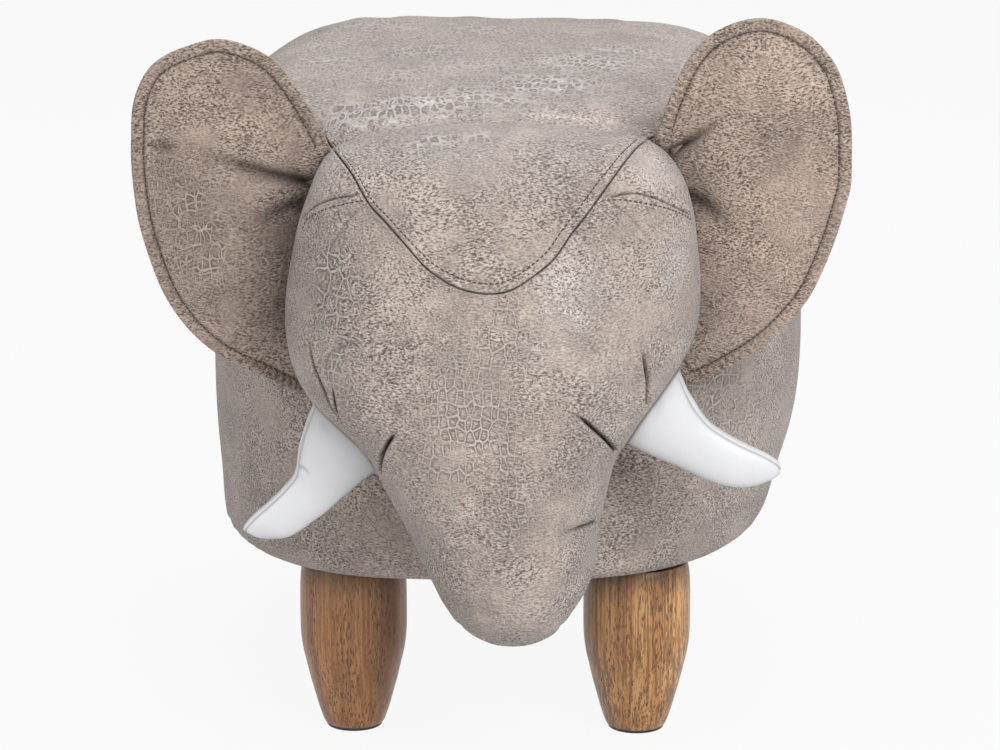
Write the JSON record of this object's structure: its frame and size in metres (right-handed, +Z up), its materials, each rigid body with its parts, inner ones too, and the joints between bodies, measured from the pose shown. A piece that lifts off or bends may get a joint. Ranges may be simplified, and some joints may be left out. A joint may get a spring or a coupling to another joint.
{
  "type": "animal footstool",
  "caption": "Elephant-shaped upholstered footstool: padded seat, stuffed head with trunk, ears and white tusks, on short turned wooden legs.",
  "frame": {"origin": "on the floor, under the middle of the whole stool's bounding box", "axes": "+Z up; +Y from the head to the tail, the elephant looks along -Y; +X to the viewer's right when the elephant is seen from the front. Left and right in the node names are the viewer's."},
  "size_m": [0.3872, 0.6392, 0.421],
  "materials": {
    "leather": "distressed taupe faux leather, pebbled grain, low sheen",
    "tusk_leather": "smooth white faux leather, low sheen",
    "turned_wood": "satin brown stain over open-grained turned wood",
    "plywood": "raw plywood",
    "pine": "raw sawn softwood",
    "hardboard": "raw brown hardboard, smooth on one side",
    "foam": "cream polyurethane foam, open-celled",
    "stuffing": "white polyester fibre filling",
    "dust_cloth": "matt black nonwoven cloth",
    "steel": "bright zinc-plated steel",
    "glide_plastic": "matt dark brown plastic"
  },
  "bodies": {
    "root": {"top_panel": "leather", "left_side_panel": "leather", "right_side_panel": "leather", "left_temple_panel": "leather", "right_temple_panel": "leather", "face_panel": "leather", "throat_panel": "leather", "left_ear_front": "leather", "left_ear_back": "leather", "right_ear_front": "leather", "right_ear_back": "leather", "tail_strap": "leather", "tail_tassel": "leather", "left_tusk_cover": "tusk_leather", "left_tusk_filling": "stuffing", "left_ear_padding": "stuffing", "left_side_board": "plywood", "right_tusk_cover": "tusk_leather", "right_tusk_filling": "stuffing", "right_ear_padding": "stuffing", "right_side_board": "plywood", "head_filling": "stuffing", "base_board": "plywood", "seat_board": "plywood", "front_board": "plywood", "rear_board": "plywood", "corner_block_front_left": "pine", "corner_block_front_right": "pine", "corner_block_rear_left": "pine", "corner_block_rear_right": "pine", "wrap_board": "hardboard", "side_foam": "foam", "seat_foam": "foam", "dust_cover": "dust_cloth", "leg_front_left": "turned_wood", "hanger_bolt_front_left": "steel", "t_nut_front_left": "steel", "glide_front_left": "glide_plastic", "leg_front_right": "turned_wood", "hanger_bolt_front_right": "steel", "t_nut_front_right": "steel", "glide_front_right": "glide_plastic", "leg_rear_left": "turned_wood", "hanger_bolt_rear_left": "steel", "t_nut_rear_left": "steel", "glide_rear_left": "glide_plastic", "leg_rear_right": "turned_wood", "hanger_bolt_rear_right": "steel", "t_nut_rear_right": "steel", "glide_rear_right": "glide_plastic"}
  },
  "joints": []
}
